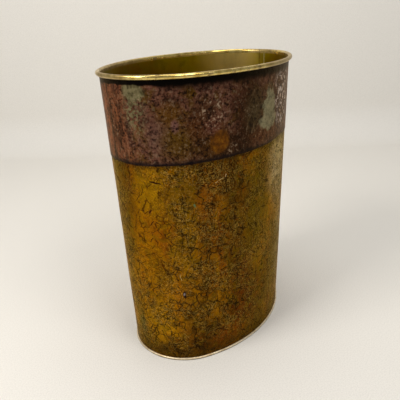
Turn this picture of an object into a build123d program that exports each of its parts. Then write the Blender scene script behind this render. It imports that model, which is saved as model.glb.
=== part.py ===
from build123d import *
from math import cos, radians, sin
import os

# An oval sheet-metal wastebasket. +Z is up, the resting plane is z = 0, the long axis lies along X
# and the side seam is at the +X end. Lengths are millimetres and angles are degrees.

# Driving dimensions of the whole basket.
HEIGHT = 305.0              # resting plane to the top of the rim bead
RIM_HALF = (127.0, 83.0)    # half-length and half-width of the wall's outside, at HEIGHT
FOOT_HALF = (112.0, 76.0)   # the same at the resting plane: the wall tapers straight between them
END_TURN = 55.0             # each end arc of the oval turns this far to either side of the X axis

# Sheets, wire and clearances.
SHEET = 0.6                 # brass of the wall and the bottom pan
BAND_SHEET = 0.45           # copper of the band
BEAD_RADIUS = 2.2           # outside of the wall's curl round the rim wire
SLIP = 0.05                 # clearance between two pieces that are slid or rolled together
SOLDER = 0.1                # thickness of a soldered film

# The rim curl, which rolls outwards from the wall over the wire and back down to the wall.
CURL_TURN = 305.0           # how far the sheet goes round the wire
CURL_Z = HEIGHT - BEAD_RADIUS
WIRE_RADIUS = BEAD_RADIUS - SHEET - SLIP

# The wall's lapped side seam. Its inner lap is notched off clear of the curl and of the pan.
SEAM = -5.9                 # angle of the outer lap's cut edge
LAP = 5.9                   # angle that the laps share
BEND = 1.2                  # angle over which a sheet steps past the other
JOINT_GAP = 0.3             # angle left open where curl and flange meet end to end
LAP_FOOT = 10.0
LAP_HEAD = HEIGHT - 4.0

# The copper band, a lapped sleeve from just under the curl down to its visible lower edge.
BAND_FOOT = 224.0
BAND_HEAD = HEIGHT - 2 * BEAD_RADIUS - 0.1
BAND_SEAM = 12.0            # angle of the sleeve's own lap, beside the wall's seam
BAND_LAP = 6.5

# The bottom pan: a raised floor, a chuck wall inside the wall, and a hem round the wall's flange.
PAN_FLOOR = 8.0             # top face of the floor
PAN_CORNER = 1.5            # outside radius where the floor turns down
FLANGE_REACH = 0.5          # how far the wall's foot flange stands out
FLANGE_HEAD = 2 * SHEET + SLIP
HEM_HEIGHT = 3 * SHEET + 2 * SLIP
HEM_REACH = 1.4             # how far the hem stands out from the wall
HEM_LIP = 0.15              # where the hem's upper lap ends, just outside the wall

FULL_TURN = (-END_TURN, 360 - END_TURN)


def heading(angle):
    """Unit vector in the XY plane."""
    return Vector(cos(radians(angle)), sin(radians(angle)), 0)


def arcs(z):
    """The wall's outer oval at height z: centre, radius, first and last normal angle of each arc."""
    rise = z / HEIGHT
    a, b = (foot + (rim - foot) * rise for foot, rim in zip(FOOT_HALF, RIM_HALF))
    slope = (1 - sin(radians(END_TURN))) / cos(radians(END_TURN))
    end_radius = (b - slope * a) / (1 - slope)
    end_centre = a - end_radius
    side_radius = end_radius + end_centre / cos(radians(END_TURN))
    side_centre = side_radius - b
    return [
        (Vector(end_centre, 0, z), end_radius, -END_TURN, END_TURN),
        (Vector(0, -side_centre, z), side_radius, END_TURN, 180 - END_TURN),
        (Vector(-end_centre, 0, z), end_radius, 180 - END_TURN, 180 + END_TURN),
        (Vector(0, side_centre, z), side_radius, 180 + END_TURN, 360 - END_TURN),
    ]


def stretches(z, start, stop):
    """The parts of the oval's arcs between two normal angles, counterclockwise."""
    found = []
    for turn in (-360, 0, 360):
        for centre, radius, first, last in arcs(z):
            low, high = max(start, first + turn), min(stop, last + turn)
            if high - low > 1e-6:
                found.append((centre, radius, low, high))
    return sorted(found, key=lambda stretch: stretch[2])


def parallel(z, offset, start, stop):
    """Edges parallel to the oval, offset outwards, between two normal angles."""
    edges = []
    for centre, radius, low, high in stretches(z, start, stop):
        points = [centre + heading(angle) * (radius + offset) for angle in (low, (low + high) / 2, high)]
        edges.append(Edge.make_three_point_arc(*points))
    return edges


def outline(*curves):
    """A face bounded by curves in order, joined by straight lines where they don't meet."""
    edges = []
    for curve in curves:
        if edges:
            edges.append(Edge.make_line(edges[-1] @ 1, curve[0] @ 0))
        edges += curve
    edges.append(Edge.make_line(edges[-1] @ 1, edges[0] @ 0))
    return Face(Wire(edges))


def backwards(edges):
    """The same curve, followed the other way."""
    return [edge.reversed() for edge in reversed(edges)]


def run_section(z, inner, outer, start, stop):
    """Level cut through a sheet that follows the oval between two offsets and two angles."""
    return outline(parallel(z, outer, start, stop), backwards(parallel(z, inner, start, stop)))


def lap_section(z, inner, outer, seam, lap, step):
    """Level cut through a lap that runs `step` beside the sheet, then bends back to meet it."""
    end_centre, end_radius = arcs(z)[0][:2]

    def bend(offset):
        beside = end_centre + heading(seam) * (end_radius + offset + step)
        level = end_centre + heading(seam + BEND) * (end_radius + offset)
        return Edge.make_line(beside, level)

    outside = parallel(z, outer + step, seam - lap, seam) + [bend(outer)]
    inside = parallel(z, inner + step, seam - lap, seam) + [bend(inner)]
    return outline(outside, backwards(inside))


def tapered(section, foot, head, *sizes):
    """Solid between the same level cut at two heights."""
    return loft([section(foot, *sizes), section(head, *sizes)], ruled=True)


def carried_round(z, profile, start, stop):
    """Solid swept by a profile of (offset, height) round the oval of height z, arc by arc."""
    swept = Part()
    for centre, radius, low, high in stretches(z, start, stop):
        across = heading(low)
        plane = Plane(origin=centre, x_dir=across, z_dir=across.cross(Vector(0, 0, 1)))
        swept += revolve(plane * (Pos(radius, 0) * profile), Axis(centre, (0, 0, 1)), high - low)
    return swept


def box_profile(low, foot, high, head):
    """Rectangle of (offset, height) between two corners."""
    return Pos((low + high) / 2, (foot + head) / 2) * Rectangle(high - low, head - foot)


def bent_profile(centre, outer_radius, start, turn):
    """Cut through a sheet bent round a centre, from a start angle through a turn."""
    inner_radius = outer_radius - SHEET
    stop = start + turn
    outer, inner = (CenterArc(centre, radius, start, turn) for radius in (outer_radius, inner_radius))
    ends = [
        Line(Vector(*centre) + heading(angle) * inner_radius, Vector(*centre) + heading(angle) * outer_radius)
        for angle in (start, stop)
    ]
    return make_face([outer, ends[1], inner, ends[0]])


def wall_sheet():
    """Tapered wall, its lapped seam, its curl round the rim wire and its flange at the foot."""
    start, stop = SEAM + BEND, SEAM + 360
    meet = start + 360 - JOINT_GAP
    curl = bent_profile((BEAD_RADIUS - SHEET, 0), BEAD_RADIUS, 180 - CURL_TURN, CURL_TURN)
    flange = box_profile(-SHEET, -SHEET, FLANGE_REACH, 0)
    wall = tapered(run_section, FLANGE_HEAD, CURL_Z, -SHEET, 0, start, stop)
    lap = tapered(lap_section, LAP_FOOT, LAP_HEAD, -SHEET, 0, SEAM, LAP, -SHEET - SOLDER)
    rolled = carried_round(CURL_Z, curl, start, meet)
    foot = carried_round(FLANGE_HEAD, flange, start, meet)
    return wall + lap + rolled + foot


def side_seam_solder():
    """Film of solder between the two laps of the wall's seam."""
    return tapered(run_section, LAP_FOOT, LAP_HEAD, -SHEET - SOLDER, -SHEET, SEAM - LAP, SEAM)


def rim_wire():
    """Wire hoop inside the curl, its two ends butted."""
    wire = Pos(BEAD_RADIUS - SHEET, 0) * Circle(WIRE_RADIUS)
    return carried_round(CURL_Z, wire, SEAM + JOINT_GAP, SEAM + 360)


def copper_band():
    """Copper sleeve round the top of the wall, lapped outwards over its own first edge."""
    inner, outer = SLIP, SLIP + BAND_SHEET
    step = BAND_SHEET + SOLDER
    sleeve = tapered(run_section, BAND_FOOT, BAND_HEAD, inner, outer, BAND_SEAM + BEND, BAND_SEAM + 360)
    lap = tapered(lap_section, BAND_FOOT, BAND_HEAD, inner, outer, BAND_SEAM, BAND_LAP, step)
    return sleeve + lap


def band_seam_solder():
    """Film of solder under the band's lap."""
    inner = SLIP + BAND_SHEET
    sizes = (inner, inner + SOLDER, BAND_SEAM - BAND_LAP, BAND_SEAM)
    return tapered(run_section, BAND_FOOT, BAND_HEAD, *sizes)


def bottom_pan():
    """Raised floor with a chuck wall, hemmed outwards and up round the wall's flange."""
    chuck_face = -SHEET - SLIP
    corner_z = PAN_FLOOR - PAN_CORNER
    hem_radius = HEM_HEIGHT / 2
    hem_centre = HEM_REACH - hem_radius
    profile = box_profile(chuck_face - SHEET, 0, chuck_face, corner_z)
    profile += bent_profile((chuck_face - PAN_CORNER, corner_z), PAN_CORNER, 0, 90)
    profile += box_profile(chuck_face, 0, hem_centre, SHEET)
    profile += bent_profile((hem_centre, hem_radius), hem_radius, -90, 180)
    profile += box_profile(HEM_LIP, HEM_HEIGHT - SHEET, hem_centre, HEM_HEIGHT)
    floor = Face(Wire(parallel(PAN_FLOOR - SHEET, chuck_face - PAN_CORNER, *FULL_TURN)))
    return carried_round(0, profile, *FULL_TURN) + extrude(floor, SHEET)


os.makedirs("parts", exist_ok=True)
for piece in (wall_sheet, side_seam_solder, rim_wire, copper_band, band_seam_solder, bottom_pan):
    export_step(piece(), f"parts/{piece.__name__}.step")
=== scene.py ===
from math import cos, radians, sin

import bmesh
import bpy
import numpy as np
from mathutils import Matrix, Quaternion, Vector, noise


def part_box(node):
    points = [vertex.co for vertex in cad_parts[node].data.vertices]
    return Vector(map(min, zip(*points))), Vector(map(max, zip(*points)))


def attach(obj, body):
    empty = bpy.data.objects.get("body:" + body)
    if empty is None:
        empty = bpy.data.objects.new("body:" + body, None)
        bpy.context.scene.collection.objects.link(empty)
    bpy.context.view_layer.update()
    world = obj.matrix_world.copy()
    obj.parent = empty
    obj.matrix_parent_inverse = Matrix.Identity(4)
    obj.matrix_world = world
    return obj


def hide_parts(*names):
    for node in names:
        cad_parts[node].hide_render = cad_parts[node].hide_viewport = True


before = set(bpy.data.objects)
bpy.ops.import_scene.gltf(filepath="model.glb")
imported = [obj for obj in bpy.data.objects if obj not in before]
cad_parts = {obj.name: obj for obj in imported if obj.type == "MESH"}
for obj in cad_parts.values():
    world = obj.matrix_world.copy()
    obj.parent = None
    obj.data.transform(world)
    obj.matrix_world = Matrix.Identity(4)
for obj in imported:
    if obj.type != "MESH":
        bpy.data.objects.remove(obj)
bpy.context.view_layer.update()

# The basket's own measures, in metres and, unless they say otherwise, radians. Its overall size is
# read from the frame's boxes.
MM = 0.001
SHEET = 0.6 * MM            # brass of the wall and the pan
BAND_SHEET = 0.45 * MM      # copper of the band
SLIP = 0.05 * MM            # between two sheets
SOLDER = 0.1 * MM
BEAD_RADIUS = 2.2 * MM      # outside of the curl round the rim wire
CURL_TURN = 305             # how far the curl goes round, in degrees
FLANGE_REACH = 0.5 * MM     # how far the wall's foot flange stands out
FLANGE_Z = 0.95 * MM        # its middle height
FOOT_BEND = 0.5 * MM        # middle radius of a sheet's tight bends
HEM_REACH = 1.4 * MM        # how far the pan's hem stands out from the oval
HEM_HEIGHT = 2.6 * MM
HEM_ROUND = 0.95 * MM       # outside radius of its top and bottom
HEM_LIP = 0.15 * MM         # where the hem's upper lap ends, outside the wall
CORNER = 1.5 * MM           # outside radius where the pan's floor turns down
END_TURN = radians(55)      # each end arc of the oval turns this far to either side of X
SEAM = radians(-5.9)        # the wall's inner lap lies a full step inside the wall up to here
LAP = radians(5.9)          # angle that it does so over
BEND = radians(1.2)         # angle over which a lap comes back to its sheet
JOINT_GAP = radians(0.3)    # left open at the cut edge of the wall's outer lap
BAND_SEAM = radians(12)     # the copper band's lap lies a full step outside it up to here
BAND_LAP = radians(6.5)     # angle that it does so over
HALF_TURN = radians(180)
FULL_TURN = radians(360)

# Rows and columns of the meshes.
AROUND = 380                # columns round the wall and the band
PAN_AROUND = 260            # columns round the pan
ROWS_BELOW_BAND = 70
ROWS_BEHIND_BAND = 14
CURL_ROWS = 30
LAP_ROWS = 80
BAND_ROWS = 46
FOOT_BEND_ROWS = 6
HEM_ROUND_ROWS = 7
CORNER_ROWS = 8
FLOOR_RINGS = 29
FILLET_ROWS = 150

wall_top, pan_top = (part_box(node)[1] for node in ("wall_sheet", "bottom_pan"))
LAP_FOOT, LAP_HEAD = (corner[2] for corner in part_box("side_seam_solder"))
BAND_FOOT, BAND_HEAD = (corner[2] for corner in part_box("copper_band"))
CURL_Z = wall_top[2] - BEAD_RADIUS
FOOT_HALF = [side - HEM_REACH for side in pan_top[:2]]
CURL_HALF = [side - 2 * BEAD_RADIUS + SHEET for side in wall_top[:2]]


# ---------------------------------------------------------------------------------------------
# The tapered four-arc oval
# ---------------------------------------------------------------------------------------------

def arcs(z):
    """Centre and radius of the end arcs, then of the side arcs, of the wall's outside at height z."""
    rise = np.asarray(z) / CURL_Z
    a, b = (foot + (curl - foot) * rise for foot, curl in zip(FOOT_HALF, CURL_HALF))
    slope = (1 - sin(END_TURN)) / cos(END_TURN)
    end_radius = (b - slope * a) / (1 - slope)
    end_centre = a - end_radius
    side_radius = end_radius + end_centre / cos(END_TURN)
    return end_centre, end_radius, side_radius - b, side_radius


def place(angle, z, out, oval_z=None):
    """Points `out` from the oval, where its normal heads along `angle`, at height z."""
    angle, z, out = np.broadcast_arrays(angle, z, out)
    end_centre, end_radius, side_centre, side_radius = arcs(z if oval_z is None else oval_z)
    across, along = np.cos(angle), np.sin(angle)
    on_end = np.abs(across) > cos(END_TURN)
    radius = np.where(on_end, end_radius, side_radius) + out
    x = np.where(on_end, np.copysign(end_centre, across), 0) + radius * across
    y = np.where(on_end, 0, -np.copysign(side_centre, along)) + radius * along
    return np.stack([x, y, z], axis=-1)


def angles(start, turn, count):
    """Normal angles from start through turn, evenly spaced along the oval."""
    fine = np.linspace(start, start + turn, 6000)
    steps = np.linalg.norm(np.diff(place(fine, CURL_Z / 2, 0), axis=0), axis=1)
    length = np.append(0, np.cumsum(steps))
    return np.interp(np.linspace(0, length[-1], count), length, fine)


# ---------------------------------------------------------------------------------------------
# Wear in the metal's shape
# ---------------------------------------------------------------------------------------------

# Each dent: normal angle in degrees, then height, half-width, half-height and depth in millimetres.
DENTS = [
    (-163, 208, 5, 2.5, 0.5),
    (-170, 178, 3, 4, 0.4),
    (-143, 89, 3, 3, 0.6),
    (-118, 150, 14, 22, 0.5),
    (-95, 90, 18, 14, 0.7),
    (-150, 40, 10, 8, 0.4),
    (60, 120, 16, 26, 0.8),
    (115, 200, 9, 7, 0.6),
    (150, 60, 8, 10, 0.5),
    (25, 170, 12, 9, 0.5),
]

# Each unevenness: how far it reaches, and the size of its swells.
WALL_SWELL = 0.22 * MM, 55 * MM
WALL_RIPPLE = 0.05 * MM, 11 * MM
BAND_SWELL = 0.05 * MM, 5 * MM
BAND_RIPPLE = 0.03 * MM, 2.2 * MM
BAND_CUT = 0.5 * MM, 22 * MM
FILLET_SWELL = 0.3 * MM, 9 * MM
FILLET_RIPPLE = 0.15 * MM, 3 * MM
FLOOR_SPRING = 0.35 * MM, 60 * MM

TRUE_FOOT = 3 * MM          # below this height the wall's shape has no wear
TRUE_HEAD = CURL_Z - 2 * MM     # nor above this one
WEAR_EASE = 25 * MM         # over this height the wear comes in, from both

CLIMB_AT = radians(-80)     # where the copper band's lower edge climbs
CLIMB_HALF = radians(13)
CLIMB = 2.4 * MM


def ripple(points, size, octaves=2):
    """Smooth noise of about -1 to 1 at each point, with swells about `size` across."""
    flat = points.reshape(-1, 3) / size
    values = [noise.fractal(Vector(point), 1.0, 2.0, octaves) for point in flat]
    return np.array(values).reshape(points.shape[:-1])


def uneven(points, unevenness, octaves=2):
    """How far out an unevenness reaches at each point."""
    height, size = unevenness
    return height * ripple(points, size, octaves)


def relief(angle, z):
    """How far the worn sheet stands out from the true oval. It stays true at the rim and the foot."""
    ground = place(angle, z, 0)
    out = uneven(ground, WALL_SWELL) + uneven(ground + 1, WALL_RIPPLE)
    for degrees, height, half_width, half_height, depth in DENTS:
        middle = place(radians(degrees), height * MM, 0)
        level = np.hypot(ground[..., 0] - middle[0], ground[..., 1] - middle[1]) / half_width
        climb = (ground[..., 2] - middle[2]) / half_height
        out = out - depth * MM * np.exp(-(level ** 2 + climb ** 2) / MM ** 2)
    held = np.clip(np.minimum(z - TRUE_FOOT, TRUE_HEAD - z) / WEAR_EASE, 0, 1)
    return out * held ** 2 * (3 - 2 * held)


def band_edge(angle):
    """Height of the copper band's hand-cut lower edge, which climbs on the -Y side."""
    off = (angle - CLIMB_AT + HALF_TURN) % FULL_TURN - HALF_TURN
    climb = CLIMB * np.exp(-(off / CLIMB_HALF) ** 2)
    return BAND_FOOT + climb + uneven(place(angle, BAND_FOOT, 0), BAND_CUT, 4)


# ---------------------------------------------------------------------------------------------
# Mesh building
# ---------------------------------------------------------------------------------------------

def arc(centre, radius, start, turn, count):
    """Points (out, z) on an arc, its angles in degrees."""
    return [(centre[0] + radius * cos(a), centre[1] + radius * sin(a))
            for a in np.radians(np.linspace(start, start + turn, count))]


def upright(out, foot, head, count):
    """Points (out, z) straight up."""
    return [(out, z) for z in np.linspace(foot, head, count)]


def faces_of(path, thickness):
    """Both faces of a sheet whose middle follows (out, z) points: the right one, then the left one back."""
    path = np.asarray(path, dtype=float)
    along = np.gradient(path, axis=0)
    along /= np.linalg.norm(along, axis=1, keepdims=True)
    right = np.stack([along[:, 1], -along[:, 0]], axis=1) * thickness / 2
    return np.concatenate([path + right, (path - right)[::-1]])


def sheet_points(columns, path, thickness, oval_z=None, moved=None):
    """A sheet carried along the oval, as points[column, row] round its cut edge."""
    profile = faces_of(path, thickness)
    angle, out, z = np.broadcast_arrays(columns[:, None], profile[:, 0], profile[:, 1])
    if moved:
        shift, lift = moved(angle, z)
        out, z = out + shift, z + lift
    return place(angle, z, out, oval_z)


def loop_faces(points, closed):
    """Quads between the columns of a closed profile, and caps on both ends if it is an open run."""
    columns, rows = points.shape[:2]
    faces = []
    for i in range(columns if closed else columns - 1):
        left, right = i * rows, (i + 1) % columns * rows
        for j in range(rows):
            up = (j + 1) % rows
            faces.append((left + j, right + j, right + up, left + up))
    if not closed:
        for first in (0, (columns - 1) * rows):
            for j in range(rows // 2 - 1):
                faces.append((first + j, first + j + 1, first + rows - 2 - j, first + rows - 1 - j))
    return faces


def piece(name, node, solids, materials, sharp=40):
    """A mesh object that stands for a CAD node. A solid is (points, closed, material of each row)."""
    vertices, faces, chosen = [], [], []
    for points, closed, material_of_row in solids:
        first, rows = len(vertices), points.shape[1]
        own = loop_faces(points, closed)
        vertices += [tuple(point) for point in points.reshape(-1, 3)]
        faces += [tuple(first + corner for corner in face) for face in own]
        chosen += [material_of_row(index % rows) for index in range(len(own))]
    mesh = bpy.data.meshes.new(name)
    mesh.from_pydata(vertices, [], faces)
    for material in materials:
        mesh.materials.append(material)
    mesh.polygons.foreach_set("material_index", chosen)
    working = bmesh.new()
    working.from_mesh(mesh)
    bmesh.ops.remove_doubles(working, verts=working.verts, dist=0.001 * MM)
    bmesh.ops.recalc_face_normals(working, faces=working.faces)
    working.to_mesh(mesh)
    working.free()
    mesh.shade_smooth()
    mesh.set_sharp_from_angle(angle=radians(sharp))
    made = bpy.data.objects.new(name, mesh)
    bpy.context.scene.collection.objects.link(made)
    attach(made, "root")
    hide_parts(node)
    return made


# ---------------------------------------------------------------------------------------------
# Pieces
# ---------------------------------------------------------------------------------------------

def stepped(seam, step):
    """A move that carries a sheet's lap `step` beside the rest, and lets both follow the wall's wear."""
    def moved(angle, z):
        aside = step * np.clip((seam + BEND - angle) / BEND, 0, 1)
        return relief(angle, z) + aside, 0
    return moved


def make_wall(outside, inside):
    """The wrapped sheet: foot flange, tapered wall, curl round the wire, and the seam's inner lap."""
    middle = -SHEET / 2     # of the sheet, from the outside of the wall
    path = [(FLANGE_REACH, FLANGE_Z)]
    path += arc((middle + FOOT_BEND, FLANGE_Z + FOOT_BEND), FOOT_BEND, 270, -90, FOOT_BEND_ROWS)
    path += upright(middle, 2.5 * MM, BAND_FOOT, ROWS_BELOW_BAND)
    path += upright(middle, BAND_FOOT + 4 * MM, TRUE_HEAD, ROWS_BEHIND_BAND)
    path += arc((BEAD_RADIUS - SHEET, CURL_Z), BEAD_RADIUS - SHEET / 2, 180, -CURL_TURN, CURL_ROWS)
    columns = angles(SEAM + BEND, FULL_TURN - JOINT_GAP, AROUND)
    run = sheet_points(columns, path, SHEET, moved=lambda angle, z: (relief(angle, z), 0))

    lap_columns = np.append(np.linspace(SEAM - LAP, SEAM, 7), SEAM + BEND)
    lap_path = upright(middle, LAP_FOOT, LAP_HEAD, LAP_ROWS)
    lap = sheet_points(lap_columns, lap_path, SHEET, moved=stepped(SEAM, -SHEET - SOLDER))
    return piece(
        "wall_shell", "wall_sheet",
        [(run, False, lambda row: int(row >= len(path))), (lap, False, lambda row: 1)],
        [outside, inside],
    )


def make_band(material):
    """The copper sleeve: one sheet that laps out over its own first edge."""
    lap_columns = np.linspace(BAND_SEAM - BAND_LAP, BAND_SEAM, 8)
    columns = np.append(lap_columns, angles(BAND_SEAM + BEND, FULL_TURN - BEND, AROUND))
    path = upright(SLIP + BAND_SHEET / 2, BAND_FOOT, BAND_HEAD, BAND_ROWS)
    lapped = stepped(BAND_SEAM, BAND_SHEET + SOLDER)

    def moved(angle, z):
        ground = place(angle, z, 0)
        eaten = uneven(ground, BAND_SWELL) + uneven(ground + 1, BAND_RIPPLE)
        rise = (band_edge(angle) - BAND_FOOT) * (BAND_HEAD - z) / (BAND_HEAD - BAND_FOOT)
        return lapped(angle, z)[0] + np.abs(eaten), rise

    points = sheet_points(columns, path, BAND_SHEET, moved=moved)
    return piece("band_sleeve", "copper_band", [(points, False, lambda row: 0)], [material])


def make_pan(bare, lacquered):
    """The bottom: hem round the wall's flange, chuck wall inside the wall, and the raised floor."""
    hem_centre = HEM_REACH - HEM_ROUND
    hem_radius = HEM_ROUND - SHEET / 2
    chuck = -SHEET - SLIP - SHEET / 2
    turn_in = CORNER - SHEET / 2
    floor_z = pan_top[2] - SHEET / 2
    path = [(HEM_LIP, HEM_HEIGHT - SHEET / 2)]
    path += arc((hem_centre, HEM_HEIGHT - HEM_ROUND), hem_radius, 90, -90, HEM_ROUND_ROWS)
    path += arc((hem_centre, HEM_ROUND), hem_radius, 0, -90, HEM_ROUND_ROWS)
    path += arc((chuck + FOOT_BEND, SHEET / 2 + FOOT_BEND), FOOT_BEND, 270, -90, FOOT_BEND_ROWS)
    path += upright(chuck, 2 * MM, floor_z - turn_in, 4)
    path += arc((chuck - turn_in, floor_z - turn_in), turn_in, 0, 90, CORNER_ROWS)[1:]
    columns = angles(-END_TURN, FULL_TURN, PAN_AROUND + 1)[:-1]
    edge = sheet_points(columns, path, SHEET, oval_z=0)
    half = len(path)

    def disc(rim):
        """Rings from a rim to the middle of the floor, which has sagged a little, and unevenly."""
        shrink = np.linspace(1, 0, FLOOR_RINGS + 1)[1:]
        depth, swell = FLOOR_SPRING
        rings = rim[:, None] * np.stack([shrink, shrink, shrink ** 0], axis=1)
        free = np.sin(np.pi / 2 * (1 - shrink))
        rings[..., 2] -= depth * free * (1 + ripple(rings * (1, 1, 0), swell))
        rings[..., 2] = np.where(shrink == 0, rings[0, -1, 2], rings[..., 2])
        return rings

    top, underside = disc(edge[:, half - 1]), disc(edge[:, half])
    points = np.concatenate([edge[:, :half], top, underside[:, ::-1], edge[:, half:]], axis=1)
    inside_rows = range(half - CORNER_ROWS, half + FLOOR_RINGS)
    return piece(
        "pan_pressing", "bottom_pan",
        [(points, True, lambda row: int(row in inside_rows))],
        [bare, lacquered],
    )


FILLET_WIDTH = 0.75 * MM
# The run-out's section: shares of its width along the sheet below, and of the lap's height.
FILLET_SECTION = [(0, 0), (1, 0), (0.55, 0.35), (0.25, 0.7), (0, 0.95)]


def make_fillet(name, node, edge, base, top, foot, head, material):
    """Solder run out along a lap's cut edge, from the sheet below it to the face of the lap."""
    z = np.linspace(foot + MM, head - MM, FILLET_ROWS)
    line = place(edge, z, base)
    width = FILLET_WIDTH + uneven(line, FILLET_SWELL) + uneven(line, FILLET_RIPPLE)
    turn = width / arcs(z)[1]
    out = base + relief(edge, z)
    height = top - base
    rows = [place(edge - turn * aside, z, out + height * up) for aside, up in FILLET_SECTION]
    solid = (np.stack(rows, axis=1), False, lambda row: 0)
    return piece(name, node, [solid], [material], sharp=60)


# ---------------------------------------------------------------------------------------------
# Materials
# ---------------------------------------------------------------------------------------------

def hue(code):
    """Linear colour from a six-figure sRGB code."""
    parts = [int(code[i:i + 2], 16) / 255 for i in (0, 2, 4)]
    return [part / 12.92 if part < 0.04045 else ((part + 0.055) / 1.055) ** 2.4 for part in parts] + [1]


class Finish:
    """A material under construction. Its patterns are laid out in millimetres in the row frame."""

    def __init__(self, name, metallic, coat=0.0, edge="ffffff"):
        self.material = bpy.data.materials.new(name)
        self.material.use_nodes = True
        self.tree = self.material.node_tree
        self.surface = self.tree.nodes["Principled BSDF"]
        self.surface.inputs["Metallic"].default_value = metallic
        self.surface.inputs["Coat Weight"].default_value = coat
        self.surface.inputs["Coat Roughness"].default_value = 0.25
        self.surface.inputs["Coat IOR"].default_value = 1.2
        self.surface.inputs["Specular Tint"].default_value = hue(edge)
        coordinates = self.tree.nodes.new("ShaderNodeTexCoord").outputs["Object"]
        self.at = self.vector("SCALE", coordinates, scale=1 / MM)

    def put(self, socket, value):
        """Link a pattern to a socket, or set the socket to a plain value."""
        if isinstance(value, bpy.types.NodeSocket):
            self.tree.links.new(value, socket)
        else:
            socket.default_value = value

    def node(self, kind, values, output=0, **settings):
        """One output of a new shader node with these inputs and settings."""
        made = self.tree.nodes.new("ShaderNode" + kind)
        for key, value in settings.items():
            setattr(made, key, value)
        for key, value in values.items():
            self.put(made.inputs[key], value)
        return made.outputs[output]

    def vector(self, operation, a, b=None, scale=None):
        """Arithmetic on vectors, which gives a vector, or a number for a length or a dot product."""
        values = {0: a}
        if b is not None:
            values[1] = b
        if scale is not None:
            values["Scale"] = scale
        output = "Value" if operation in ("LENGTH", "DOT_PRODUCT") else "Vector"
        return self.node("VectorMath", values, output, operation=operation)

    def math(self, operation, a, b=0.0):
        """One number from one or two."""
        return self.node("Math", {0: a, 1: b}, operation=operation)

    def times(self, a, b):
        return self.math("MULTIPLY", a, b)

    def plus(self, a, b):
        return self.math("ADD", a, b)

    def less(self, a, b):
        return self.math("SUBTRACT", a, b)

    def most(self, first, *others):
        """The largest of some values."""
        for other in others:
            first = self.math("MAXIMUM", first, other)
        return first

    def stretched(self, x, y, z):
        """Coordinates in which patterns are that many times longer."""
        return self.vector("MULTIPLY", self.at, (1 / x, 1 / y, 1 / z))

    def wandering(self, size, amount, at=None):
        """Coordinates pushed about by noise of a size, by up to `amount` millimetres."""
        at = at or self.at
        push = self.node("TexNoise", {"Vector": at, "Scale": 1 / size, "Detail": 2.0}, "Color")
        push = self.vector("SUBTRACT", push, (0.5, 0.5, 0.5))
        return self.vector("ADD", at, self.vector("SCALE", push, scale=2 * amount))

    def cloud(self, size, detail=3.0, roughness=0.5, at=None):
        """Noise from 0 to 1 with blotches of a size."""
        values = {"Vector": at or self.at, "Scale": 1 / size, "Detail": detail, "Roughness": roughness}
        return self.node("TexNoise", values)

    def cracks(self, size, width, at=None):
        """1 on the borders of cells of a size, 0 half a width away from them."""
        values = {"Vector": at or self.at, "Scale": 1 / size}
        distance = self.node("TexVoronoi", values, "Distance", feature="DISTANCE_TO_EDGE")
        return self.between(self.times(distance, size), width / 2, width / 8)

    def creases(self, size, width, level, at):
        """1 along the curved lines where noise with blotches of a size crosses a level."""
        away = self.math("ABSOLUTE", self.less(self.cloud(size, 1, 0.5, at), level))
        return self.between(self.times(away, 2 * size), width / 2, width / 8)

    def laid(self, colour, code, amount, strength=None):
        """The colour under another one, which shows by an amount from 0 to 1 times a strength."""
        if strength is not None:
            amount = self.times(amount, strength)
        return self.mix(amount, colour, hue(code))

    def shaded(self, colour, share, amount):
        """The colour, brought down to a share of itself by an amount from 0 to 1."""
        dark = self.mix(1.0, colour, (share, share, share, 1), "MULTIPLY")
        return self.mix(amount, colour, dark)

    def daubed(self, colour, places, at):
        """The colour with each of the places laid over it in turn."""
        for middle, reach, tall, soft, code, strength in places:
            colour = self.laid(colour, code, self.patch(middle, reach, soft, tall, at), strength)
        return colour

    def between(self, value, low, high):
        """Smooth rise from 0 at low to 1 at high. A fall, if high is below low."""
        values = {"Value": value, "From Min": low, "From Max": high}
        return self.node("MapRange", values, interpolation_type="SMOOTHSTEP")

    def mix(self, amount, a, b, kind="MIX"):
        """The colour a, going over to b as the amount goes from 0 to 1."""
        return self.node("Mix", {0: amount, 6: a, 7: b}, 2, data_type="RGBA", blend_type=kind)

    def blend(self, amount, a, b):
        """The number a, going over to b as the amount goes from 0 to 1."""
        return self.node("Mix", {0: amount, 2: a, 3: b}, 0, data_type="FLOAT")

    def height(self):
        """Height in millimetres."""
        return self.node("SeparateXYZ", {0: self.at}, "Z")

    def uneven_height(self, size, push):
        """Height in millimetres, moved by noise with blotches of a size, by up to `push`."""
        return self.plus(self.height(), self.times(self.cloud(size), push))

    def patch(self, middle, reach, soft=0.4, tall=1.0, at=None):
        """1 within a reach of a point, fading over a share of it, and `tall` times as high."""
        away = self.vector("SUBTRACT", at or self.at, middle)
        away = self.vector("MULTIPLY", away, (1, 1, 1 / tall))
        return self.between(self.vector("LENGTH", away), reach * (1 + soft), reach * (1 - soft))

    def blot(self, middle, reach, tall=1.0, ragged=0.5):
        """As a patch, with an edge that noise pushes in and out by up to a share of the reach."""
        away = self.vector("SUBTRACT", self.at, middle)
        away = self.vector("LENGTH", self.vector("MULTIPLY", away, (1, 1, 1 / tall)))
        push = self.less(self.cloud(reach * 0.5, 4, 0.65), 0.5)
        away = self.plus(away, self.times(push, 4 * ragged * reach))
        return self.between(away, reach * 1.15, reach * 0.85)

    def scratch(self, start, end, width, at=None):
        """1 along the line between two points in millimetres, fading out half a width from it."""
        run = Vector(end) - Vector(start)
        away = self.vector("SUBTRACT", at or self.at, start)
        along = self.vector("DOT_PRODUCT", away, run / run.length_squared)
        along = self.most(self.math("MINIMUM", along, 1), 0)
        away = self.vector("SUBTRACT", away, self.vector("SCALE", tuple(run), scale=along))
        return self.between(self.vector("LENGTH", away), width / 2, width / 6)

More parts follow.
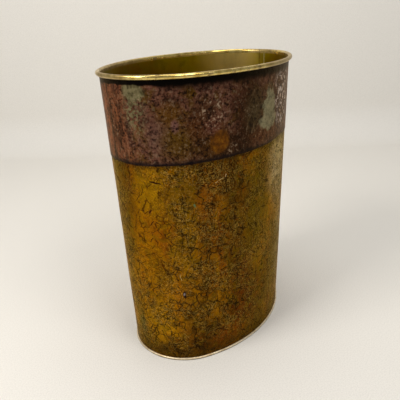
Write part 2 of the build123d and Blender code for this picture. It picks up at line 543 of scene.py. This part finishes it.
    def tone(self, value, *stops):
        """Colour ramp of (position, colour code) stops."""
        made = self.tree.nodes.new("ShaderNodeValToRGB")
        elements = made.color_ramp.elements
        while len(elements) < len(stops):
            elements.new(1.0)
        for element, (position, code) in zip(elements, stops):
            element.position = position
            element.color = hue(code)
        self.put(made.inputs[0], value)
        return made.outputs[0]

    def finish(self, colour, roughness, relief, depth):
        """Join the patterns to the surface. `relief` is a height from 0 to 1, `depth` millimetres deep."""
        self.put(self.surface.inputs["Base Color"], colour)
        self.put(self.surface.inputs["Roughness"], roughness)
        bump = self.node("Bump", {"Height": relief, "Distance": depth * MM, "Strength": 1.0}, "Normal")
        self.put(self.surface.inputs["Normal"], bump)
        return self.material


# Places of their own colour in the gold and in the copper. In the gold they are partly painted light:
# brighter places at the -X end are painted highlights, darker ones towards the -Y side are painted shade,
# and the pale grey one at (28, -80, 196) is a painted reflection. Each row gives the middle and the reach
# in millimetres, how many times taller than wide, how soft its edge is, its colour and its strength.
GOLD_PATCHES_AND_PAINTED_LIGHT = [
    ((-118, 24, 180), 18, 3.5, 0.6, "5c3c08", 0.85),
    ((-120, -13, 198), 15, 1.7, 0.5, "a07c08", 0.85),
    ((-119, -2, 125), 14, 3.5, 0.6, "9e6e06", 0.75),
    ((-113, -18, 72), 12, 3.0, 0.7, "987608", 0.7),
    ((-106, -40, 196), 13, 1.8, 0.6, "72560a", 0.8),
    ((-105, -38, 140), 12, 3.0, 0.7, "84660a", 0.6),
    ((-86, -56, 188), 12, 1.8, 0.5, "845008", 0.8),
    ((-83, -56, 140), 11, 1.6, 0.5, "663c06", 0.85),
    ((-58, -69, 190), 15, 2.4, 0.6, "4c3002", 0.9),
    ((-52, -70, 118), 17, 2.4, 0.6, "543602", 0.85),
    ((-28, -77, 160), 17, 3.0, 0.6, "524408", 0.85),
    ((-45, -71, 62), 22, 1.8, 0.6, "542602", 0.9),
    ((-10, -78, 60), 22, 1.5, 0.6, "4c2802", 0.85),
    ((-84, -52, 24), 24, 0.8, 0.6, "4c2c06", 0.85),
    ((-96, -44, 50), 12, 1.0, 0.6, "7c580a", 0.6),
    ((-112, -12, 18), 16, 0.8, 0.6, "563e0c", 0.75),
    ((-110, -30, 80), 16, 1.2, 0.7, "a87008", 0.6),
    ((-112, -10, 46), 15, 1.5, 0.6, "b0840e", 0.8),
    ((-98, -44, 62), 14, 1.6, 0.6, "6c4c08", 0.6),
    ((-113, 16, 34), 8, 2.4, 0.6, "464e3a", 0.85),
    ((-38, -73, 52), 22, 1.2, 0.6, "582404", 0.85),
    ((-64, -63, 18), 20, 0.7, 0.6, "7c3c06", 0.7),
    ((28, -80, 196), 28, 1.4, 0.6, "c0bea4", 0.8),
    ((30, -78, 85), 26, 1.8, 0.6, "4a3408", 0.85),
    ((75, 60, 150), 34, 1.8, 0.6, "8e600a", 0.7),
    ((20, 80, 80), 30, 1.5, 0.6, "563008", 0.7),
    ((110, 20, 190), 24, 2.0, 0.6, "6e520a", 0.7),
]
COPPER_PLACES = [
    ((-121, 16, 262), 15, 2.5, 0.5, "4e3020", 0.8),
    ((-117, 32, 262), 9, 4.0, 0.5, "94502e", 0.85),
    ((-117, -28, 250), 10, 1.5, 0.6, "6c4c40", 0.7),
    ((-125, 12, 262), 8, 3.0, 0.5, "784426", 0.75),
    ((-112, -38, 270), 12, 0.9, 0.6, "5e3c08", 0.85),
    ((-108, -43, 245), 16, 1.0, 0.6, "5c4008", 0.85),
    ((-80, -62, 236), 24, 0.7, 0.6, "482c06", 0.85),
    ((-96, -53, 258), 8, 1.6, 0.6, "563010", 0.8),
    ((-88, -57, 272), 12, 0.9, 0.6, "54341c", 0.7),
    ((-80, -62, 256), 9, 0.8, 0.6, "6c4030", 0.8),
    ((-40, -77, 265), 20, 1.6, 0.6, "3a1c06", 0.9),
    ((-50, -75, 236), 16, 0.8, 0.6, "321806", 0.85),
    ((-32, -80, 262), 12, 1.5, 0.8, "50442a", 0.7),
    ((24, -82, 262), 26, 1.4, 0.5, "4c3020", 0.85),
    ((-12, -82, 238), 26, 0.3, 0.5, "5a3016", 0.8),
    ((60, 70, 262), 26, 0.8, 0.6, "64440c", 0.7),
    ((122, 10, 250), 20, 0.8, 0.6, "4a2a18", 0.8),
]
# Nicks and scratches in the gold: both ends and the width in millimetres, and the colour.
SCRATCHES = [
    ((-83, -59, 200), (-70, -65.8, 204.5), 1.2, "c8aa70"),
    ((-93, -53, 199), (-82, -59.5, 198.5), 0.9, "a87c3c"),
    ((-84, -58.5, 197), (-70, -65.5, 202), 0.9, "2a1406"),
    ((-69, -66.5, 205.5), (-68, -66.8, 207.5), 2.2, "d0b888"),
    ((-67.8, -66.7, 206), (-67.6, -66.4, 190), 1.8, "241206"),
    ((-120, -15, 208), (-117, -25, 207), 2.4, "2a100a"),
    ((-119.9, -14, 182), (-119.7, -12, 176), 3.2, "3a1410"),
    ((-118, -17, 170), (-119, -11, 163), 1.2, "34180c"),
    ((-95, -50, 160), (-87, -55, 159), 2.0, "24100a"),
    ((-97.5, -48, 184), (-97, -49, 181), 2.6, "5c7248"),
    ((-98, -47, 190), (-100, -45, 184), 1.2, "c0a468"),
    ((-104.5, -36, 86), (-104, -36.5, 82.5), 5.0, "24140e"),
    ((-104.6, -36.3, 85.2), (-104.6, -36.3, 84.2), 3.0, "a0908c"),
    ((-107, -34, 108), (-106, -35, 102), 1.2, "b89c60"),
    ((-78, -58, 150), (-72, -62, 158), 1.4, "241006"),
    ((-94, -50, 120), (-82, -57, 112), 1.0, "2c1408"),
]
# Olive patches on the copper: middle and reach in millimetres, how many times taller than wide,
# and how ragged the edge is.
OLIVE_PLACES = [
    ((-126, -9, 291), 11, 0.8, 0.3),
    ((-9, -82, 249), 16, 0.55, 0.4),
    ((-8, -82, 264), 12, 1.4, 0.5),
    ((-20, 80, 268), 14, 1.1, 0.7),
    ((112, 42, 280), 12, 1.3, 0.7),
]
# Middle and reach, in millimetres, of the places where the copper is flecked with pale metal.
FLECKED_PLACES = [((26, -81, 264), 21), ((-82, -61, 268), 12), ((60, 72, 250), 20)]
# Middle and reach, in millimetres, of the places where the rim's bead is dull.
DULL_PLACES = [((-125, 15, 303), 26), ((-55, 78, 303), 55), ((45, -80, 303), 62), ((128, -10, 303), 20)]


def crackled_gold():
    """Aged gold lacquer over leaf, finely creased, with flaked edges and dark nicks."""
    f = Finish("crackled_gold", metallic=1.0, coat=0.12, edge="ffe8a0")
    wander = f.wandering(9, 3, f.wandering(30, 8))
    clean = f.patch((-120, -10, 160), 22, 0.5, 3.0, wander)
    busy = f.between(f.cloud(28, 3, 0.6, wander), 0.38, 0.58)
    busy = f.times(busy, f.blend(clean, 1.0, 0.5))

    ground = f.tone(
        f.cloud(34, 4, 0.55, f.stretched(1, 1, 2.5)),
        (0.32, "5c3804"), (0.42, "805606"), (0.50, "946a04"), (0.57, "865006"), (0.68, "5c3404"),
    )
    # The places lay painted highlights, painted shade and a painted reflection over the gold's own colours.
    ground = f.daubed(ground, GOLD_PATCHES_AND_PAINTED_LIGHT, wander)
    ground = f.laid(ground, "945004", f.between(f.cloud(7), 0.54, 0.68), 0.3)
    ground = f.laid(ground, "66560a", f.between(f.cloud(10, 3, 0.6), 0.50, 0.36), 0.5)
    ground = f.mix(1.0, ground, (1.04, 0.9, 0.85, 1), "MULTIPLY")
    blotch = f.between(f.cloud(8, 4, 0.65, wander), 0.51, 0.35)
    ground = f.shaded(ground, 0.28, f.times(blotch, f.blend(clean, 0.85, 0.35)))
    dusky = f.between(f.cloud(2.6, 3, 0.7), 0.52, 0.36)
    ground = f.shaded(ground, 0.36, f.times(dusky, f.blend(busy, 0.2, 0.75)))

    # Dark crackle, from its longest lines to its finest. Its darkness is partly the crackle's own colour
    # and partly painted shade in the creases.
    curved = f.wandering(5, 1.5)
    broken = f.between(f.cloud(13, 2), 0.42, 0.52)
    branched = f.between(f.cloud(9, 2), 0.46, 0.56)
    broken_fine = f.times(f.between(f.cloud(5, 2), 0.44, 0.54), f.blend(busy, 0.35, 1.0))
    crazed = f.patch((-96, -44, 56), 50, 0.4, 1.0, wander)
    crazed = f.times(crazed, f.between(f.cloud(14, 2), 0.42, 0.54))
    finest = f.blend(busy, 0.1, 0.9)
    lines = f.most(
        f.times(f.creases(14, 1.4, 0.48, curved), broken),
        f.times(f.cracks(11, 1.3, curved), branched),
        f.times(f.cracks(8, 1.1, curved), crazed),
        f.times(f.creases(5, 1.0, 0.5, curved), broken_fine),
        f.times(f.creases(3.6, 0.7, 0.54, curved), broken_fine),
        f.times(f.creases(3.2, 0.6, 0.44, curved), finest),
    )
    colour = f.mix(f.times(lines, 0.85), ground, f.mix(clean, hue("1c0c03"), hue("462004")))

    # Bright flakes, and painted highlights on the edges beside the finer lines.
    beside = f.vector("ADD", curved, (0.5, 0.4, 0.9))
    crease_highlight = f.most(
        f.times(f.creases(5, 0.7, 0.5, beside), broken_fine),
        f.times(f.creases(3.2, 0.6, 0.44, beside), finest),
    )
    stroke = f.cloud(1.9, 2, 0.6, f.stretched(1, 1, 1.6))
    flake = f.times(f.between(stroke, 0.61, 0.67), f.blend(busy, 0.25, 1.0))
    flake = f.most(f.times(flake, 0.8), f.times(crease_highlight, 0.6))
    colour = f.mix(f.times(flake, 0.55), colour, f.mix(clean, hue("d4ac54"), hue("c89420")))

    for start, end, width, code in SCRATCHES:
        colour = f.laid(colour, code, f.scratch(start, end, width, curved))
    # Painted shade: the gold darker towards the wall's foot.
    colour = f.laid(colour, "2c1a08", f.between(f.uneven_height(10, -14), 20, 0), 0.6)
    # Painted shadow of the copper band's lower edge on the gold just below it.
    colour = f.laid(colour, "241404", f.between(f.uneven_height(9, 8), 221, 229), 0.6)

    grain = f.blend(f.blend(busy, 0.15, 0.5), f.cloud(5, 4, 0.65), f.cloud(2.2, 3, 0.7, curved))
    relief = f.less(grain, f.times(lines, 0.5))
    rough = f.blend(lines, f.blend(busy, 0.30, 0.42), 0.65)
    return f.finish(colour, rough, relief, depth=0.9)


def dark_copper():
    """Copper gone purple-brown, pitted and mottled, with olive and orange patches."""
    f = Finish("dark_copper", metallic=0.97, coat=0.2, edge="ffe8c8")
    wander = f.wandering(8, 4)
    ground = f.tone(
        f.cloud(15, 5, 0.65, wander),
        (0.34, "382018"), (0.43, "5a3828"), (0.50, "704838"), (0.57, "603e26"), (0.66, "5a3c10"),
    )
    ground = f.daubed(ground, COPPER_PLACES, wander)
    streaked = f.patch((-120, 20, 262), 26, 0.5, 3, wander)
    streaks = f.tone(
        f.cloud(5, 3, 0.6, f.stretched(1, 1, 6)),
        (0.4, "44281e"), (0.5, "7a4830"), (0.6, "9a5c3c"),
    )
    ground = f.mix(f.times(streaked, 0.65), ground, streaks)

    thin = f.patch((-125, -8, 277), 10, 0.6, 2.2, wander)
    thin = f.times(thin, f.between(f.cloud(3), 0.42, 0.56))
    olive = f.most(thin, *[f.blot(*place) for place in OLIVE_PLACES])
    verdigris = f.tone(f.cloud(6), (0.35, "565234"), (0.6, "807a56"))
    bleached = f.patch((-10, -82, 262), 30, 0.3)
    verdigris = f.mix(bleached, verdigris, f.mix(0.35, verdigris, hue("c0bc98")))
    colour = f.mix(f.times(olive, 0.85), ground, verdigris)
    mauve = f.patch((-110.5, -40.5, 260), 3.6, 0.5, 1.5, f.wandering(3, 1.5))
    colour = f.laid(colour, "7c5450", mauve, 0.7)
    blotch = f.between(f.cloud(6, 4, 0.7, wander), 0.50, 0.36)
    colour = f.shaded(colour, 0.3, f.times(blotch, f.blend(olive, 0.85, 0.35)))

    # Pale flecks, the orange spot, and dark pits over all but the spot and the olive.
    mottle = f.blend(0.45, f.cloud(4.2, 4, 0.7, f.wandering(4, 1.5)), f.cloud(2, 3, 0.75))
    worn = f.times(f.between(f.cloud(24, 2), 0.56, 0.68), 0.6)
    worn = f.most(worn, *[f.patch(*place, 0.5, 1.2, wander) for place in FLECKED_PLACES])
    pale = f.times(f.between(mottle, 0.53, 0.60), f.blend(worn, 0.45, 0.95))
    colour = f.mix(pale, colour, f.mix(f.blend(worn, 0.35, 0.75), colour, hue("c8b090")))
    spatter = f.between(f.cloud(8, 4, 0.7, wander), 0.52, 0.57)
    spatter = f.times(spatter, f.patch((26, -81, 272), 20, 0.4, 1.6))
    colour = f.laid(colour, "d8ccc4", spatter, 0.9)
    spot = f.patch((-75, -64.3, 241), 10.5, 0.22, 1.0, f.wandering(5, 2))
    rust = f.tone(f.cloud(5, 4, 0.65), (0.36, "50300a"), (0.5, "70400a"), (0.62, "8a5812"))
    colour = f.mix(f.times(spot, 0.9), colour, rust)
    clean = f.most(spot, f.times(olive, 0.6))
    pit = f.times(f.between(mottle, 0.485, 0.42), f.blend(clean, 0.9, 0.15))
    colour = f.laid(colour, "140a07", pit)

    # Painted shade under the bead, which also stands for patina there, kept thinner at the -X end; and a
    # dark line along the lower edge, partly patina and partly painted shade.
    near_bead = f.blend(f.patch((-127, 0, 300), 34, 0.4), 292, 298)
    colour = f.laid(colour, "060302", f.between(f.uneven_height(8, 5), near_bead, 299))
    colour = f.laid(colour, "0f0c10", f.between(f.uneven_height(9, -5), 227, 222.5), 0.9)
    return f.finish(colour, f.blend(f.cloud(9), 0.42, 0.62), f.plus(mottle, f.cloud(7)), depth=0.6)


def lacquered_inside():
    """Smooth olive-gold lacquer, worn to brighter brass on the rim's bead."""
    f = Finish("lacquered_inside", metallic=1.0)
    cloudy = f.cloud(50)
    colour = f.tone(cloudy, (0.35, "8e6e08"), (0.5, "a08608"), (0.65, "9c900e"))
    colour = f.laid(colour, "8c780a", f.between(f.cloud(16, 3, 0.55), 0.5, 0.68))
    # A pale pool inside near the top of the +X end: a painted reflection, with paler worn lacquer.
    colour = f.laid(colour, "e0c070", f.patch((116, 34, 292), 30, 0.7, 1.2, f.wandering(20, 6)), 0.8)
    brushed = f.cloud(4, 3, 0.6, f.stretched(1, 1, 8))
    colour = f.laid(colour, "6e580c", f.between(brushed, 0.4, 0.8), 0.15)
    colour = f.laid(colour, "5c4c10", f.between(f.cloud(12, 4, 0.6), 0.60, 0.72), 0.4)
    # A bright line down the seam's joggle: painted highlight, and worn bright brass.
    seam = f.scratch((124.6, -12.8, 303), (112.7, -12.3, 60), 2.4)
    colour = f.laid(colour, "ecdc90", seam, 0.75)

    # The bead, with its dull places, a brown nick and a bright one.
    bead = f.between(f.height(), 299.5, 301.5)
    rubbed = f.tone(f.cloud(9), (0.35, "b89a4c"), (0.55, "e0c87c"), (0.7, "c8a858"))
    dull = f.between(f.cloud(7), 0.56, 0.66)
    dull = f.most(dull, *[f.patch(*place) for place in DULL_PLACES])
    tarnish = f.tone(f.cloud(5, 4), (0.4, "846c40"), (0.6, "b09868"))
    rubbed = f.mix(f.times(dull, 0.75), rubbed, tarnish)
    rubbed = f.laid(rubbed, "4c3018", f.patch((-33, -85, 303), 3, 0.6), 0.6)
    rubbed = f.laid(rubbed, "f0e4c8", f.patch((-41, -85, 304.5), 2.5, 0.3))
    colour = f.mix(bead, colour, rubbed)

    # Painted shade: the inside darker towards the bottom.
    colour = f.laid(colour, "5c4814", f.between(f.height(), 50, 10), 0.6)
    rough = f.blend(bead, f.blend(cloudy, 0.32, 0.42), f.blend(dull, 0.2, 0.4))
    return f.finish(colour, rough, f.cloud(14), depth=0.15)


def bare_brass():
    """Plain dulled brass of the foot hem and the underside."""
    f = Finish("bare_brass", metallic=0.8)
    colour = f.tone(f.cloud(14, 4, 0.6), (0.35, "ccb48c"), (0.5, "f0e0c0"), (0.68, "dcc49c"))
    scuff = f.cloud(0.8, 3, 0.7, f.stretched(6, 6, 1))
    colour = f.laid(colour, "7a5c38", f.between(scuff, 0.58, 0.75))
    # Painted shade along the bottom of the hem, where it turns under towards the floor.
    colour = f.laid(colour, "3c2814", f.between(f.height(), 1.4, 0.7))
    return f.finish(colour, f.blend(scuff, 0.28, 0.5), scuff, depth=0.03)


def drawn_steel():
    """Grey steel wire with fine lines along it."""
    f = Finish("drawn_steel", metallic=1.0)
    streak = f.cloud(0.6, 3, 0.6, f.stretched(12, 12, 1))
    colour = f.tone(streak, (0.3, "6a6862"), (0.6, "8c8a84"), (0.8, "5a4a3c"))
    return f.finish(colour, f.blend(streak, 0.3, 0.5), streak, depth=0.02)


def soft_solder():
    """Lumpy solder under a film of the lacquer."""
    f = Finish("soft_solder", metallic=0.9)
    lumps = f.cloud(2.2, 3, 0.6)
    colour = f.tone(lumps, (0.35, "86743c"), (0.55, "b0a058"), (0.7, "c8b870"))
    return f.finish(colour, f.blend(lumps, 0.3, 0.5), lumps, depth=0.15)


# ---------------------------------------------------------------------------------------------
# The basket
# ---------------------------------------------------------------------------------------------

inside, bare, solder = lacquered_inside(), bare_brass(), soft_solder()
make_wall(crackled_gold(), inside)
make_band(dark_copper())
make_pan(bare, inside)
make_fillet(
    "side_seam_fillet", "side_seam_solder", SEAM - LAP, -SHEET, -2 * SHEET - SOLDER,
    LAP_FOOT, LAP_HEAD, solder,
)
band_face = SLIP + BAND_SHEET
make_fillet(
    "band_seam_fillet", "band_seam_solder", BAND_SEAM - BAND_LAP, band_face,
    band_face + SOLDER + BAND_SHEET, BAND_FOOT, BAND_HEAD, solder,
)
steel = drawn_steel()
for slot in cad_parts["rim_wire"].material_slots:
    slot.material = steel


# ---------------------------------------------------------------------------------------------
# Studio
# ---------------------------------------------------------------------------------------------

CAMERA_AT = Vector((-0.4426, -0.2838, 0.3536))
LOOKING_AT = Vector((-0.0164, -0.0013, 0.1511))
CAMERA_ROLL = radians(-2.34)
FOCAL_LENGTH = 43.2         # in millimetres, on a sensor 36 mm wide
BACKDROP_AWAY = 0.8         # from the basket's middle, along the view
BACKDROP_TOP = 2.0
BACKDROP_HALF = 2.0         # half its width
FLOOR_NEAR = -2.5           # where the floor begins, behind the camera
SWEEP_RADIUS = 0.1
# Each lamp: its place, the point it faces, its side in metres, its power in watts and its colour.
LAMPS = {
    "key": ((-0.9, 0.35, 1.0), (0, 0, 0.15), 0.5, 9.5, (1.0, 0.97, 0.93)),
    "front": ((-0.3, -0.8, 1.3), (0, 0, 0.2), 0.6, 6.5, (1.0, 0.98, 0.95)),
    "backdrop": ((0.1, 0.0, 1.5), (0.75, 0.5, 0.4), 0.8, 6, (1.0, 0.99, 0.97)),
}
AIR_COLOUR = (0.86, 0.88, 0.92, 1)
AIR_STRENGTH = 0.38


def pale_paper():
    """The matt paper of the floor and the backdrop."""
    f = Finish("pale_paper", metallic=0.0)
    paper = f.cloud(1.5, 3, 0.6)
    return f.finish(f.laid(hue("e6e2da"), "d8d4cc", f.between(paper, 0.3, 0.8)), 0.75, paper, depth=0.03)


def make_stage():
    """A pale floor that sweeps up into a pale backdrop square to the view."""
    view = LOOKING_AT - CAMERA_AT
    view.z = 0
    view.normalize()
    side = Vector((-view.y, view.x, 0))
    turn_at = BACKDROP_AWAY - SWEEP_RADIUS
    profile = [(FLOOR_NEAR, 0.0), (turn_at, 0.0)]
    for turned in np.radians(np.linspace(10, 90, 9)):
        profile.append((turn_at + SWEEP_RADIUS * sin(turned), SWEEP_RADIUS - SWEEP_RADIUS * cos(turned)))
    profile.append((BACKDROP_AWAY, BACKDROP_TOP))
    vertices = []
    for away, z in profile:
        for width in (-BACKDROP_HALF, BACKDROP_HALF):
            vertices.append(tuple(view * away + side * width + Vector((0, 0, z))))
    faces = [(2 * i, 2 * i + 1, 2 * i + 3, 2 * i + 2) for i in range(len(profile) - 1)]
    mesh = bpy.data.meshes.new("sweep")
    mesh.from_pydata(vertices, [], faces)
    mesh.shade_smooth()
    mesh.materials.append(pale_paper())
    made = bpy.data.objects.new("sweep", mesh)
    bpy.context.scene.collection.objects.link(made)


def make_lamp(name, at, towards, size, power, colour):
    """A square soft lamp."""
    light = bpy.data.lights.new(name, "AREA")
    light.shape = "SQUARE"
    light.size = size
    light.energy = power
    light.color = colour
    made = bpy.data.objects.new(name, light)
    made.location = at
    made.rotation_euler = (Vector(towards) - Vector(at)).to_track_quat("-Z", "Y").to_euler()
    bpy.context.scene.collection.objects.link(made)


def make_camera():
    """The camera, rolled a little about its own axis."""
    lens = bpy.data.cameras.new("camera")
    lens.sensor_width = 36
    lens.lens = FOCAL_LENGTH
    lens.clip_start = 0.01
    made = bpy.data.objects.new("camera", lens)
    made.location = CAMERA_AT
    turn = (LOOKING_AT - CAMERA_AT).to_track_quat("-Z", "Y") @ Quaternion((0, 0, 1), CAMERA_ROLL)
    made.rotation_mode = "QUATERNION"
    made.rotation_quaternion = turn
    bpy.context.scene.collection.objects.link(made)
    bpy.context.scene.camera = made


def make_air():
    """An even, faintly blue light from all sides."""
    world = bpy.data.worlds.new("studio")
    world.use_nodes = True
    background = world.node_tree.nodes["Background"]
    background.inputs["Color"].default_value = AIR_COLOUR
    background.inputs["Strength"].default_value = AIR_STRENGTH
    bpy.context.scene.world = world


make_stage()
make_camera()
make_air()
for name, lamp in LAMPS.items():
    make_lamp(name, *lamp)
bpy.context.scene.view_settings.view_transform = "Standard"
